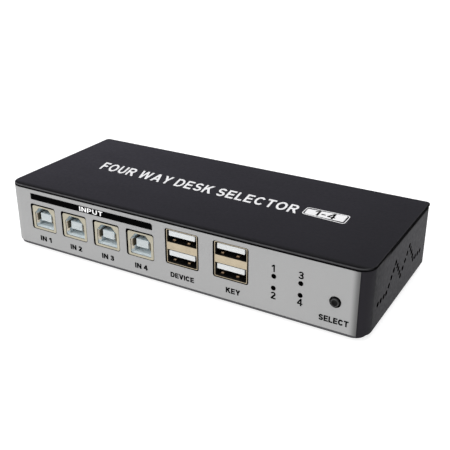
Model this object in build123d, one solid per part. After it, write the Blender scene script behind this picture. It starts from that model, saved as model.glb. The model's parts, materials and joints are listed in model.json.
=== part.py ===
from build123d import *
import os
import math

os.makedirs("parts", exist_ok=True)

# ---------------------------------------------------------------------------
# Desktop selector box for four computers: one keyboard, mouse and screen are
# shared between four hosts.  Millimetres.  +Z up, front panel faces -Y,
# origin under the middle of the box on the plane of the feet.
# ---------------------------------------------------------------------------

# ---- driving dimensions: case ---------------------------------------------
LENGTH = 160.0          # lid, left to right (X)
DEPTH = 67.0            # lid, front to back (Y)
CORNER_R = 5.5          # plan radius of the lid's two front corners
REAR_R = 1.6            # and of its two rear corners, which are nearly square
REAR_BEND_R = 1.3       # outside radius of the tight bends at the rear
FOOT_H = 1.5            # rubber feet under the base plate
BODY_H = 27.0           # base plate underside to lid top
LID_T = 0.9             # lid sheet
LID_EDGE_R = 0.45       # rounding of the lid's upper edge
LID_GAP = 0.25          # shadow gap between lid and wall frame
BASE_T = 1.0            # base sheet
BASE_SIDE_INSET = 1.5   # base plate is narrower than the frame at each end
BASE_CORNER_R = 4.5
WALL_T = 1.0            # bent strip of the wall frame
LABEL_T = 0.25          # printed overlay on front and rear
GLUE = 0.02             # adhesive under the overlays
LABEL_RIGHT_DEG = 17.0  # how far the overlay wraps the right-hand corner
LABEL_LEFT_DEG = 50.0   # how far it wraps the left-hand corner
PROUD = 0.8             # button and rear sockets stand this far out

ZB = FOOT_H                       # base plate underside
Z_BASE_TOP = ZB + BASE_T
ZT = ZB + BODY_H                  # lid top
Z_LID_UNDER = ZT - LID_T
Z_FRAME_TOP = Z_LID_UNDER - LID_GAP
Y_FRONT = -DEPTH / 2              # outer face of the front overlay
Y_REAR = DEPTH / 2
INSET = LABEL_T + GLUE            # frame's outer face behind the overlay's
FX, FY = LENGTH / 2 - INSET, DEPTH / 2 - INSET
FRAME_R = CORNER_R - INSET

# ---- driving dimensions: vents --------------------------------------------
VENT_D = 1.8
VENTS = [(-23.5, 9.7), (-20.45, 9.7), (-17.4, 9.7), (-14.6, 9.75),
         (-12.3, 11.65), (-10.2, 13.85), (-8.1, 15.95), (-6.15, 18.1),
         (-4.0, 15.85), (-2.4, 13.8), (-0.6, 11.5), (1.05, 9.35),
         (3.2, 11.55), (5.4, 13.7), (7.55, 15.8), (9.8, 18.0),
         (11.6, 15.85), (13.35, 13.7), (15.05, 11.45), (16.5, 9.3),
         (19.35, 9.25), (22.5, 9.2), (25.5, 9.2)]     # (y, height above ZB)

# ---- driving dimensions: board --------------------------------------------
PCB_X, PCB_Y = 143.0, 63.0
PCB_T = 1.6
PCB_TOP = ZB + 8.4
PCB_BOT = PCB_TOP - PCB_T
PCB_HOLES = [(-66.5, -11.0), (66.5, -11.0), (-66.5, 14.0), (66.5, 14.0)]
PCB_HOLE_D = 3.3
THREAD_BORE = 3.0
SHANK_D = 2.9
STANDOFF_D = 5.5
PILLARS = [(-74.4, -25.5), (74.4, -25.5), (-74.4, 25.5), (74.4, 25.5)]
PILLAR_D = 5.0
FEET = [(-65.0, -22.5), (65.0, -22.5), (-65.0, 22.5), (65.0, 22.5)]
FOOT_D = 10.0

# ---- driving dimensions: square host ports (front) --------------------------
SQ_X = [-62.3, -45.9, -29.45, -13.0]
SQ_CUT_W, SQ_CUT_H, SQ_CUT_DX = 13.1, 11.4, -0.2   # panel window, a little left of the shell
SQ_CUT_Z0 = ZB + 8.25
SQ_W, SQ_H = 12.0, 10.45          # shell outside
SQ_Z0 = PCB_TOP                   # shell stands on the board
SQ_DEPTH = 16.0
SQ_FACE = Y_FRONT + 0.2           # shell face just behind the panel face
SQ_WALL = 0.35
SQ_CAV_W, SQ_CAV_H = 8.45, 7.78
SQ_CHAMFER = 1.9
SQ_MOUTH_W, SQ_MOUTH_UP, SQ_MOUTH_DOWN = 9.7, 4.625, 4.275   # flared mouth, about the shell's middle
SQ_MOUTH_CX, SQ_MOUTH_CZ = 2.4, 2.7                          # its upper corners, across and down
SQ_FLARE = 1.2                    # depth over which the mouth narrows to the plug's size
SQ_TONGUE_W, SQ_TONGUE_H, SQ_TONGUE_UP = 5.6, 3.4, 0.25
SQ_RECESS = 1.2                   # tongue face behind the shell face
SQ_CAV_DEPTH = 9.5

# ---- driving dimensions: stacked flat ports (front) -------------------------
ST_X = [6.1, 27.1]
ST_CUT_W = 14.9
ST_CUT_Z0, ST_CUT_Z1 = ZB + 9.25, ZB + 24.05
ST_W = 13.7
ST_Z0, ST_Z1 = ZB + 9.55, ZB + 23.85
ST_WALL = 0.3
ST_FACE = Y_FRONT + 0.15
ST_DEPTH = 17.0
ST_BAND = (ZB + 15.35, ZB + 18.4)  # metal strip between the two openings
ST_OPEN = [(ZB + 10.18, ZB + 15.3), (ZB + 18.45, ZB + 23.52)]
ST_OPEN_W = 12.5                  # between the plastic liner's side walls
ST_TONGUE_W, ST_TONGUE_T = 11.4, 2.1
ST_TONGUE_DROP = 0.35             # gap above each tongue
ST_TONGUE_RECESS = 0.2
ST_POCKET = 9.0                   # opening depth to the housing

# ---- driving dimensions: lamps and button (front) ---------------------------
LAMPS = [(44.65, 15.85), (44.6, 11.1), (55.05, 15.85), (55.0, 11.15)]
LAMP_HOLE_D = 1.95
BUTTON_X, BUTTON_Z = 68.0, ZB + 12.3
BUTTON_HOLE_D = 4.4
BUTTON_CAP_D = 3.1
BUTTON_TRAVEL = 0.25

# ---- driving dimensions: rear sockets ---------------------------------------
VID_X = [-60.0, -37.0, -14.0, 9.0, 34.0]
VID_IN_W, VID_IN_H = 14.0, 4.55
VID_WALL = 0.4
VID_Z0 = PCB_TOP + 0.1
VID_DEPTH = 12.0
JACK_X = 59.0
JACK_W, JACK_H, JACK_DEPTH = 9.0, 11.0, 14.0
JACK_AXIS_Z = PCB_TOP + 6.5
JACK_BORE_D, JACK_PIN_D = 6.3, 2.0
VID_RECESS = 2.3                  # tongue face behind the shell face
JACK_RECESS = 2.4                 # pin tip behind the jack's face


# ---- helpers ----------------------------------------------------------------
def bx(x0, x1, y0, y1, z0, z1):
    """Box between two corners."""
    return Pos((x0 + x1) / 2, (y0 + y1) / 2, (z0 + z1) / 2) * Box(
        abs(x1 - x0), abs(y1 - y0), abs(z1 - z0))


def cz(x, y, d, z0, z1):
    """Upright cylinder."""
    return Pos(x, y, (z0 + z1) / 2) * Cylinder(d / 2, z1 - z0)


def cy(x, z, d, y0, y1):
    """Cylinder along Y."""
    return Pos(x, (y0 + y1) / 2, z) * Rot(90, 0, 0) * Cylinder(d / 2, y1 - y0)


def cx(y, z, d, x0, x1):
    """Cylinder along X."""
    return Pos((x0 + x1) / 2, y, z) * Rot(0, 90, 0) * Cylinder(d / 2, x1 - x0)


def slab(w, d, r, z0, z1):
    """Upright prism of a rounded rectangle centred on the origin."""
    return Pos(0, 0, z0) * extrude(RectangleRounded(w, d, r), z1 - z0)


def deck(w, d, r_front, r_rear, z0, z1):
    """The same with its own radius at the front pair and the rear pair of corners."""
    body = Pos(0, 0, (z0 + z1) / 2) * Box(w, d, z1 - z0)
    rows = body.edges().filter_by(Axis.Z).group_by(Axis.Y)
    body = fillet(rows[0], r_front)
    return fillet(body.edges().filter_by(Axis.Z).group_by(Axis.Y)[-1], r_rear)


def win(w, h, r, xc, zc, y0, y1):
    """Rounded-rectangle prism along Y, centred at xc, zc."""
    return Pos(xc, y1, zc) * Rot(90, 0, 0) * extrude(RectangleRounded(w, h, r), y1 - y0)


def prof(points, xc, zc, y0, y1):
    """Polygon prism along Y; points are (x, z) about xc, zc."""
    face = make_face(Polyline(*[(p[0], p[1]) for p in points], close=True))
    return Pos(xc, y1, zc) * Rot(90, 0, 0) * extrude(face, y1 - y0)


def save(shape, name):
    export_step(shape, "parts/" + name + ".step")


def group(*solids):
    flat = []
    for s in solids:
        flat.extend(s.solids())
    return Compound(children=flat)


def cross_recess(x, y, z_top, size, depth, up=True):
    """Cross-shaped driver recess cut down from z_top (or up when up=False)."""
    z0, z1 = (z_top - depth, z_top + 0.5) if up else (z_top - 0.5, z_top + depth)
    return bx(x - size / 2, x + size / 2, y - 0.32, y + 0.32, z0, z1) + \
        bx(x - 0.32, x + 0.32, y - size / 2, y + size / 2, z0, z1)


# ---- top lid ------------------------------------------------------------------
lid = deck(LENGTH, DEPTH, CORNER_R, REAR_R, Z_LID_UNDER, ZT)
lid = fillet(lid.edges().group_by(Axis.Z)[-1], LID_EDGE_R)
save(lid, "top_lid")

# ---- wall frame: bent strip with corner lugs ------------------------------------
frame = deck(2 * FX, 2 * FY, FRAME_R, REAR_BEND_R, Z_BASE_TOP, Z_FRAME_TOP) - \
    deck(2 * (FX - WALL_T), 2 * (FY - WALL_T), FRAME_R - WALL_T, REAR_BEND_R - WALL_T,
         Z_BASE_TOP - 1, Z_FRAME_TOP + 1)
lug_plate = deck(2 * FX - 1.0, 2 * FY - 1.0, FRAME_R - 0.5, REAR_BEND_R - 0.5,
                 Z_BASE_TOP, Z_BASE_TOP + 1.0)
for sx in (-1, 1):
    for sy in (-1, 1):
        lug = lug_plate & bx(min(sx * 70.9, sx * 81), max(sx * 70.9, sx * 81),
                             min(sy * 21.8, sy * 35), max(sy * 21.8, sy * 35),
                             Z_BASE_TOP, Z_BASE_TOP + 1.0)
        frame = frame + lug
for (px, py) in PILLARS:
    frame = frame - cz(px, py, PILLAR_D + 0.2, Z_BASE_TOP - 1, Z_BASE_TOP + 3)
for (vy, vh) in VENTS:
    frame = frame - cx(vy, ZB + vh, VENT_D, -LENGTH / 2 - 1, LENGTH / 2 + 1)
EXTRA = 0.15
front_cuts = []          # (w, h, r, xc, zc) of the overlay's own windows
for x in SQ_X:
    front_cuts.append((SQ_CUT_W, SQ_CUT_H, 1.0, x + SQ_CUT_DX, SQ_CUT_Z0 + SQ_CUT_H / 2))
for x in ST_X:
    front_cuts.append((ST_CUT_W, ST_CUT_Z1 - ST_CUT_Z0, 1.0, x, (ST_CUT_Z0 + ST_CUT_Z1) / 2))
for (w, h, r, xc, zc) in front_cuts:
    frame = frame - win(w + 2 * EXTRA, h + 2 * EXTRA, r + EXTRA, xc, zc, Y_FRONT - 1, Y_FRONT + 4)
for (lx, lz) in LAMPS:
    frame = frame - cy(lx, ZB + lz, LAMP_HOLE_D + 0.5, Y_FRONT - 1, Y_FRONT + 4)
frame = frame - cy(BUTTON_X, BUTTON_Z, BUTTON_HOLE_D + 0.2, Y_FRONT - 1, Y_FRONT + 4)
VID_OUT_W, VID_OUT_H = VID_IN_W + 2 * VID_WALL, VID_IN_H + 2 * VID_WALL
VID_ZC = VID_Z0 + VID_OUT_H / 2
rear_cuts = [(VID_OUT_W + 0.7, VID_OUT_H + 0.6, 0.6, x, VID_ZC) for x in VID_X]
rear_cuts.append((JACK_W + 0.5, JACK_H + 0.3, 0.5, JACK_X, PCB_TOP + JACK_H / 2 + 0.05))
for (w, h, r, xc, zc) in rear_cuts:
    frame = frame - win(w + 0.3, h + 0.3, r + 0.15, xc, zc, Y_REAR - 4, Y_REAR + 1)
save(frame, "wall_frame")

# ---- printed overlays -------------------------------------------------------------
skin = slab(LENGTH, DEPTH, CORNER_R, Z_BASE_TOP + 0.05, Z_FRAME_TOP - 0.05) - \
    slab(LENGTH - 2 * LABEL_T, DEPTH - 2 * LABEL_T, CORNER_R - LABEL_T, ZB, ZT)
x_right = LENGTH / 2 - CORNER_R + CORNER_R * math.sin(math.radians(LABEL_RIGHT_DEG))
x_left = LENGTH / 2 - CORNER_R + CORNER_R * math.sin(math.radians(LABEL_LEFT_DEG))
front_label = skin & bx(-x_left, x_right, Y_FRONT - 1, Y_FRONT + 5, ZB, ZT)
for (w, h, r, xc, zc) in front_cuts:
    front_label = front_label - win(w, h, r, xc, zc, Y_FRONT - 1, Y_FRONT + 4)
for (lx, lz) in LAMPS:
    front_label = front_label - cy(lx, ZB + lz, LAMP_HOLE_D, Y_FRONT - 1, Y_FRONT + 4)
front_label = front_label - cy(BUTTON_X, BUTTON_Z, BUTTON_HOLE_D, Y_FRONT - 1, Y_FRONT + 4)
save(front_label, "front_label")

x_rear = FX - REAR_BEND_R - 0.3    # the rear overlay stops short of the bends
rear_label = bx(-x_rear, x_rear, Y_REAR - LABEL_T, Y_REAR, Z_BASE_TOP + 0.05, Z_FRAME_TOP - 0.05)
rear_label = fillet(rear_label.edges().filter_by(Axis.Y), 0.6)
for (w, h, r, xc, zc) in rear_cuts:
    rear_label = rear_label - win(w, h, r, xc, zc, Y_REAR - 4, Y_REAR + 1)
save(rear_label, "rear_label")

# ---- base plate ---------------------------------------------------------------------
base = deck(LENGTH - 2 * BASE_SIDE_INSET, DEPTH, BASE_CORNER_R, REAR_R, ZB, Z_BASE_TOP)
base = fillet(base.edges().group_by(Axis.Z)[0], 0.3)
for (px, py) in PILLARS:
    base = base - cz(px, py, PCB_HOLE_D, ZB - 1, Z_BASE_TOP + 1)
save(base, "base_plate")

# ---- rubber feet ----------------------------------------------------------------------
feet = []
for (fx, fy) in FEET:
    foot = cz(fx, fy, FOOT_D, 0, FOOT_H)
    foot = chamfer(foot.edges().group_by(Axis.Z)[0], 0.5)
    feet.append(foot)
save(group(*feet), "rubber_feet")

# ---- pillars between base plate and lid --------------------------------------------------
pillars = []
for (px, py) in PILLARS:
    pillars.append(cz(px, py, PILLAR_D, Z_BASE_TOP, Z_LID_UNDER)
                   - cz(px, py, THREAD_BORE, Z_BASE_TOP - 1, Z_BASE_TOP + 9))
save(group(*pillars), "lid_pillars")

case_screws = []
for (px, py) in PILLARS:
    s = cz(px, py, 5.4, ZB - 0.95, ZB)
    s = fillet(s.edges().group_by(Axis.Z)[0], 0.3)
    s = s + cz(px, py, SHANK_D, ZB, ZB + 7.0)
    s = s - cross_recess(px, py, ZB - 0.95, 2.6, 0.7, up=False)
    case_screws.append(s)
save(group(*case_screws), "case_screws")

# ---- circuit board and its supports -----------------------------------------------------
standoffs = []
pcb_screws = []
pcb = bx(-PCB_X / 2, PCB_X / 2, -PCB_Y / 2, PCB_Y / 2, PCB_BOT, PCB_TOP)
pcb = fillet(pcb.edges().filter_by(Axis.Z), 1.5)
for (hx, hy) in PCB_HOLES:
    pcb = pcb - cz(hx, hy, PCB_HOLE_D, PCB_BOT - 1, PCB_TOP + 1)
    standoffs.append(cz(hx, hy, STANDOFF_D, Z_BASE_TOP, PCB_BOT)
                     - cz(hx, hy, THREAD_BORE, Z_BASE_TOP + 0.6, PCB_BOT + 1))
    s = cz(hx, hy, 5.6, PCB_TOP, PCB_TOP + 1.9)
    s = fillet(s.edges().group_by(Axis.Z)[-1], 0.6)
    s = s + cz(hx, hy, SHANK_D, PCB_TOP - 5.0, PCB_TOP)
    s = s - cross_recess(hx, hy, PCB_TOP + 1.9, 2.8, 1.1)
    pcb_screws.append(s)
save(pcb, "circuit_board")
save(group(*standoffs), "board_standoffs")
save(group(*pcb_screws), "board_screws")

# ---- square host ports ---------------------------------------------------------------------
SQ_ZC = SQ_Z0 + SQ_H / 2
cw, ch, cc = SQ_CAV_W / 2, SQ_CAV_H / 2, SQ_CHAMFER


def cavity(grow, xc, y0, y1):
    w, h = cw + grow, ch + grow
    c = cc + 0.41 * grow
    return prof([(-w, -h), (w, -h), (w, h - c), (w - c, h), (-w + c, h), (-w, h - c)],
                xc, SQ_ZC, y0, y1)


def outline(w, up, down, cx_, cz_):
    """Six-cornered outline with both upper corners cut off."""
    return [(-w, -down), (w, -down), (w, up - cz_), (w - cx_, up), (-w + cx_, up), (-w, up - cz_)]


def front_face(points, xc, zc, y):
    """Those points as a face that looks along -Y."""
    return Plane(origin=(xc, y, zc), x_dir=(1, 0, 0), z_dir=(0, -1, 0)) * make_face(
        Polyline(*[(p[0], p[1]) for p in points], close=True))


MOUTH = outline(SQ_MOUTH_W / 2, SQ_MOUTH_UP, SQ_MOUTH_DOWN, SQ_MOUTH_CX, SQ_MOUTH_CZ)
THROAT = outline(cw - 0.02, ch - 0.02, ch - 0.02, cc, cc)
SQ_TZ = SQ_ZC + SQ_TONGUE_UP      # middle height of the tongue
sq_contacts, sq_springs = [], []
for n, x in enumerate(SQ_X, 1):
    y0, y1 = SQ_FACE, SQ_FACE + SQ_DEPTH
    outer = win(SQ_W, SQ_H, 0.85, x, SQ_ZC, y0, y1)
    shell = outer - win(SQ_W - 2 * SQ_WALL, SQ_H - 2 * SQ_WALL, 0.5, x, SQ_ZC, y0 + SQ_WALL, y1 + 1)
    hole = prof(MOUTH, x, SQ_ZC, y0 - 1, y0 + 1)
    hole = fillet(hole.edges().filter_by(Axis.Y).group_by(Axis.Z)[-1], 0.9)
    shell = shell - hole
    save(shell, "host_port_shell_%d" % n)
    ins_w, ins_h = SQ_W - 2 * SQ_WALL - 0.04, SQ_H - 2 * SQ_WALL - 0.04
    insert = win(ins_w, ins_h, 0.48, x, SQ_ZC, y0 + SQ_WALL + 0.02, y1 - 0.1)
    ya = y0 + SQ_WALL + 0.02
    insert = insert - loft([front_face(MOUTH, x, SQ_ZC, ya), front_face(THROAT, x, SQ_ZC, ya + SQ_FLARE)], ruled=True)
    insert = insert - prof(THROAT, x, SQ_ZC, ya + SQ_FLARE - 0.001, y0 + SQ_CAV_DEPTH)
    tongue = win(SQ_TONGUE_W, SQ_TONGUE_H, 0.25, x, SQ_TZ, y0 + SQ_RECESS, y0 + SQ_CAV_DEPTH + 0.5)
    insert = insert + tongue
    save(insert, "host_port_insert_%d" % n)
    for dx in (-1.25, 1.25):
        for side in (-1, 1):
            za = SQ_TZ + side * (SQ_TONGUE_H / 2 + 0.02)
            zb = SQ_TZ + side * (SQ_TONGUE_H / 2 + 0.20)
            sq_contacts.append(bx(x + dx - 0.5, x + dx + 0.5, y0 + SQ_RECESS + 0.5,
                                  y0 + SQ_CAV_DEPTH - 0.05, min(za, zb), max(za, zb)))
    for side in (-1, 1):
        xa, xb = x + side * (cw - 0.05), x + side * (cw - 0.30)
        sq_springs.append(bx(min(xa, xb), max(xa, xb), y0 + 0.5, y0 + SQ_CAV_DEPTH - 0.3,
                             SQ_ZC - 1.5, SQ_ZC + 1.4))
save(group(*sq_contacts), "host_port_contacts")
save(group(*sq_springs), "host_port_springs")

# ---- stacked flat ports -----------------------------------------------------------------------
st_tongues, st_contacts, st_springs = [], [], []
for n, x in enumerate(ST_X, 1):
    y0, y1 = ST_FACE, ST_FACE + ST_DEPTH
    zc, h = (ST_Z0 + ST_Z1) / 2, ST_Z1 - ST_Z0
    shell = win(ST_W, h, 0.8, x, zc, y0, y1) \
        - win(ST_W - 2 * ST_WALL, h - 2 * ST_WALL, 0.5, x, zc, y0 - 1, y1 + 1)
    band = bx(x - ST_W / 2 + 0.1, x + ST_W / 2 - 0.1, y0 + 0.02, y0 + 0.42, ST_BAND[0], ST_BAND[1])
    shell = shell + band
    # solder legs that reach down to the board
    for dx in (-ST_W / 2 + 0.15, ST_W / 2 - 0.15):
        for ya in (y0 + 4.0, y0 + 12.0):
            shell = shell + bx(x + dx - 0.14, x + dx + 0.14, ya, ya + 2.2, PCB_TOP, ST_Z0 + 1.5)
    save(shell, "stack_port_shell_%d" % n)
    iw, ih = ST_W - 2 * ST_WALL - 0.04, h - 2 * ST_WALL - 0.04
    # black liner that gives each opening its true size, behind the shell's thin edge
    housing = win(iw, ih, 0.48, x, zc, y0 + 0.45, y1 - 0.1)
    for (za, zb) in ST_OPEN:
        housing = housing - bx(x - ST_OPEN_W / 2, x + ST_OPEN_W / 2, y0, y0 + ST_POCKET, za, zb)
    housing = housing + bx(x - 5.5, x + 5.5, y1 - 6.0, y1 - 0.6, PCB_TOP, ST_Z0 + 1.0) \
        - bx(x - ST_W / 2 - 1, x + ST_W / 2 + 1, y0 - 1, y1 + 1, ST_Z0, ST_Z0 + ST_WALL + 0.02)
    housing = group(*[s for s in housing.solids() if s.volume > 50.0])
    save(housing, "stack_port_housing_%d" % n)
    for (za, zb) in ST_OPEN:
        t1 = zb - ST_TONGUE_DROP
        t0 = t1 - ST_TONGUE_T
        tongue = win(ST_TONGUE_W, ST_TONGUE_T, 0.25, x, (t0 + t1) / 2,
                     y0 + ST_TONGUE_RECESS, y0 + ST_POCKET - 0.02)
        st_tongues.append(tongue)
        for k in range(4):
            dx = (-3.5, -1.0, 1.0, 3.5)[k]
            st_contacts.append(bx(x + dx - 0.5, x + dx + 0.5, y0 + ST_TONGUE_RECESS + 0.7,
                                  y0 + ST_POCKET - 0.1, t0 - 0.22, t0 - 0.02))
        for dx in (-4.3, 2.1):
            finger = bx(x + dx - 0.55, x + dx + 0.55, y0 + 1.3, y0 + 7.5, za + 0.02, za + 0.2)
            finger = finger + Pos(x + dx, y0 + 2.1, za + 0.2) * Rot(0, 90, 0) * Cylinder(0.45, 1.1)
            finger = finger & bx(x - 7, x + 7, y0 + 0.5, y0 + 8, za + 0.02, za + 2)
            st_springs.append(finger)
save(group(*st_tongues), "stack_port_tongues")
save(group(*st_contacts), "stack_port_contacts")
save(group(*st_springs), "stack_port_springs")

# ---- status lamps ---------------------------------------------------------------------------------
LAMP_X = [44.4, 54.7]
holders, lamps, lamp_legs = [], [], []
HOLD_Y0, HOLD_Y1 = Y_FRONT + 2.3, Y_FRONT + 8.3
for k, x in enumerate(LAMP_X):
    body = bx(x - 2.3, x + 2.3, HOLD_Y0, HOLD_Y1, PCB_TOP, PCB_TOP + 9.9)
    body = chamfer(body.edges().filter_by(Axis.Y), 0.4)
    for zz in (LAMPS[2 * k][1], LAMPS[2 * k + 1][1]):
        body = body - cy(x, ZB + zz, 3.1, HOLD_Y0 - 1, HOLD_Y1 - 1.2)
        body = body - bx(x - 1.5, x + 1.5, HOLD_Y1 - 1.3, HOLD_Y1 + 1, ZB + zz - 0.5, ZB + zz + 0.5)
        lamp = cy(x, ZB + zz, 3.0, HOLD_Y0 + 0.2, HOLD_Y1 - 1.25)
        lamp = fillet(lamp.edges().group_by(Axis.Y)[0], 1.2)
        lamps.append(lamp)
        for dx in (-0.95, 0.95):
            leg = bx(x + dx - 0.25, x + dx + 0.25, HOLD_Y1 - 1.2, HOLD_Y1 + 0.9, ZB + zz - 0.25, ZB + zz + 0.25)
            leg = leg + bx(x + dx - 0.25, x + dx + 0.25, HOLD_Y1 + 0.4 if zz > 13 else HOLD_Y1 + 0.4,
                           HOLD_Y1 + 0.9, PCB_TOP + 0.02, ZB + zz + 0.25)
            if zz > 13:
                leg = leg + bx(x + dx - 0.25, x + dx + 0.25, HOLD_Y1 + 0.4, HOLD_Y1 + 2.4, ZB + zz - 0.25, ZB + zz + 0.25)
                leg = leg - bx(x + dx - 1, x + dx + 1, HOLD_Y1 + 0.39, HOLD_Y1 + 1.9, PCB_TOP - 1, ZB + zz - 0.25)
                leg = leg + bx(x + dx - 0.25, x + dx + 0.25, HOLD_Y1 + 1.9, HOLD_Y1 + 2.4, PCB_TOP + 0.02, ZB + zz + 0.25)
            lamp_legs.append(leg)
    holders.append(body)
save(group(*holders), "lamp_holders")
save(group(*lamps), "status_lamps")
save(group(*lamp_legs), "lamp_legs")

# ---- push button and its switch ----------------------------------------------------------------------
SW_Y0 = Y_FRONT + 4.2             # front face of the switch's metal cover
SW_Y1 = SW_Y0 + 4.0
CAV_Y0 = SW_Y0 + 0.3
FLANGE_T = 0.7
cap = cy(BUTTON_X, BUTTON_Z, BUTTON_CAP_D, Y_FRONT - PROUD, CAV_Y0 + 0.5)
cap = chamfer(cap.edges().group_by(Axis.Y)[0], 0.3)
cap = cap - Pos(BUTTON_X, Y_FRONT - PROUD - 2.31, BUTTON_Z) * Sphere(2.5)
cap = cap + cy(BUTTON_X, BUTTON_Z, BUTTON_CAP_D + 0.9, CAV_Y0 + 0.05, CAV_Y0 + 0.05 + FLANGE_T)
save(cap, "select_button")

sw_x0, sw_x1 = BUTTON_X - 3.0, BUTTON_X + 3.0
sw_z0, sw_z1 = PCB_TOP + 0.5, BUTTON_Z + 3.0
body = bx(sw_x0, sw_x1, CAV_Y0, SW_Y1, sw_z0, sw_z1)
body = body - cy(BUTTON_X, BUTTON_Z, BUTTON_CAP_D + 1.1, CAV_Y0 - 1, CAV_Y0 + 1.7)
save(body, "switch_body")
cover = bx(sw_x0, sw_x1, SW_Y0, CAV_Y0 - 0.02, sw_z0, sw_z1) \
    - cy(BUTTON_X, BUTTON_Z, BUTTON_CAP_D + 0.12, SW_Y0 - 1, CAV_Y0 + 1)
for side in (-1, 1):
    xa, xb = BUTTON_X + side * 3.02, BUTTON_X + side * 3.32
    cover = cover + bx(min(xa, xb), max(xa, xb), SW_Y0, SW_Y1 - 0.5, PCB_TOP + 0.02, sw_z1)
    cover = cover + bx(min(BUTTON_X + side * 2.9, xb), max(BUTTON_X + side * 2.9, xb),
                       SW_Y0, CAV_Y0 - 0.02, sw_z0, sw_z1)
save(cover, "switch_bracket")
dome = cy(BUTTON_X, BUTTON_Z, 4.2, CAV_Y0 + 1.45, CAV_Y0 + 1.68)
dome = dome + cy(BUTTON_X, BUTTON_Z, 2.2, CAV_Y0 + 1.15, CAV_Y0 + 1.5)
save(dome, "switch_dome")
terms = []
for dx in (-1.9, 1.9):
    terms.append(bx(BUTTON_X + dx - 0.3, BUTTON_X + dx + 0.3, SW_Y1 + 0.02, SW_Y1 + 0.32, PCB_TOP + 0.02, PCB_TOP + 3.0))
save(group(*terms), "switch_terminals")

# ---- rear video sockets ---------------------------------------------------------------------------------
vw, vh = VID_IN_W / 2, VID_IN_H


def vid_profile(grow):
    w = vw + grow
    return [(-w, vh / 2 + grow), (w, vh / 2 + grow), (w, -0.45 * vh / 2 - 0.3 * grow),
            (w - 1.55, -vh / 2 - grow), (-w + 1.55, -vh / 2 - grow), (-w, -0.45 * vh / 2 - 0.3 * grow)]


vid_contacts, vid_inserts = [], []
VY1 = Y_REAR + PROUD
VY0 = VY1 - VID_DEPTH
for n, x in enumerate(VID_X, 1):
    shell = prof(vid_profile(VID_WALL), x, VID_ZC, VY0, VY1) - \
        prof(vid_profile(0.0), x, VID_ZC, VY0 - 1, VY1 + 1)
    for side in (-1, 1):
        xa, xb = x + side * (vw + 0.05), x + side * (vw + VID_WALL)
        for yy in (VY0 + 1.5, VY0 + 7.0):
            shell = shell + bx(min(xa, xb), max(xa, xb), yy, yy + 1.6, PCB_TOP, VID_ZC)
    save(shell, "video_port_shell_%d" % n)
    block = prof(vid_profile(-0.02), x, VID_ZC, VY0 + 0.1, VY0 + 3.2)
    tz0, tz1 = VID_ZC - 0.15, VID_ZC + 1.15
    block = block + bx(x - 5.7, x + 5.7, VY0 + 3.0, VY1 - VID_RECESS, tz0, tz1)
    vid_inserts.append(block)
    for k in range(10):
        cx0 = x - 4.5 + k
        vid_contacts.append(bx(cx0 - 0.17, cx0 + 0.17, VY0 + 3.25, VY1 - VID_RECESS - 0.5, tz0 - 0.12, tz0 - 0.01))
    for k in range(9):
        cx0 = x - 4.0 + k
        vid_contacts.append(bx(cx0 - 0.17, cx0 + 0.17, VY0 + 3.25, VY1 - VID_RECESS - 0.5, tz1 + 0.01, tz1 + 0.12))
save(group(*vid_inserts), "video_port_inserts")
save(group(*vid_contacts), "video_port_contacts")

# ---- power jack --------------------------------------------------------------------------------------------
JY1 = Y_REAR + PROUD
JY0 = JY1 - JACK_DEPTH
jack = bx(JACK_X - JACK_W / 2, JACK_X + JACK_W / 2, JY0, JY1, PCB_TOP, PCB_TOP + JACK_H)
jack = chamfer(jack.edges().filter_by(Axis.Y).group_by(Axis.Z)[-1], 1.0)
jack = jack - cy(JACK_X, JACK_AXIS_Z, JACK_BORE_D, JY1 - 9.5, JY1 + 1)
jack = jack - cy(JACK_X, JACK_AXIS_Z, JACK_PIN_D + 0.06, JY0 + 1.0, JY1)
save(jack, "power_jack_body")
pin = cy(JACK_X, JACK_AXIS_Z, JACK_PIN_D, JY0 + 1.02, JY1 - JACK_RECESS)
pin = fillet(pin.edges().group_by(Axis.Y)[-1], 0.6)
leaf = bx(JACK_X - 1.2, JACK_X + 1.2, JY1 - 8.5, JY1 - 2.0, JACK_AXIS_Z - JACK_BORE_D / 2 + 0.12,
          JACK_AXIS_Z - JACK_BORE_D / 2 + 0.42) & cy(JACK_X, JACK_AXIS_Z, JACK_BORE_D - 0.1, JY1 - 9, JY1)
save(group(pin, leaf), "power_jack_contacts")

# ---- chips and other board parts ---------------------------------------------------------------------------
T = PCB_TOP


def chip(x, y, w, d, h, z=T + 0.1):
    c = bx(x - w / 2, x + w / 2, y - d / 2, y + d / 2, z, z + h)
    return chamfer(c.edges().group_by(Axis.Z)[-1], min(0.2, h / 4))


save(chip(-26.0, 2.0, 14.0, 14.0, 1.4), "video_switch_chip")
save(bx(-35.0, -17.0, -7.0, 11.0, T + 1.52, T + 2.02), "thermal_pad")
sink = bx(-36.0, -16.0, -8.0, 12.0, T + 2.04, T + 3.6)
for k in range(8):
    fx = -36.0 + k * (20.0 - 1.0) / 7
    sink = sink + bx(fx, fx + 1.0, -8.0, 12.0, T + 3.5, T + 9.5)
save(sink, "heat_sink")
save(chip(16.0, -8.0, 7.0, 7.0, 1.2), "hub_chip")
save(chip(46.0, -8.0, 10.0, 10.0, 1.4), "controller_chip")
save(group(*[chip(x, 16.5, 4.9, 3.9, 1.5) for x in VID_X]), "memory_chips")
save(group(*[chip(x + dx, 12.6, 2.0, 2.5, 0.7) for x in VID_X[2:] for dx in (-4.0, 4.0)]), "protection_chips")
crystals = []
for (x, y) in ((3.0, -7.0), (33.0, -7.0)):
    crystals.append(Pos(x, y, T + 0.2) * extrude(RectangleRounded(4.4, 10.6, 2.1), 3.4))
save(group(*crystals), "clock_crystals")
save(chip(46.5, 8.0, 6.5, 6.1, 2.3), "voltage_regulator")
choke = slab(7.0, 7.0, 1.2, T + 0.1, T + 4.1)
save(Pos(38.0, 6.0, 0) * choke, "power_choke")
caps, cap_tops = [], []
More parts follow.
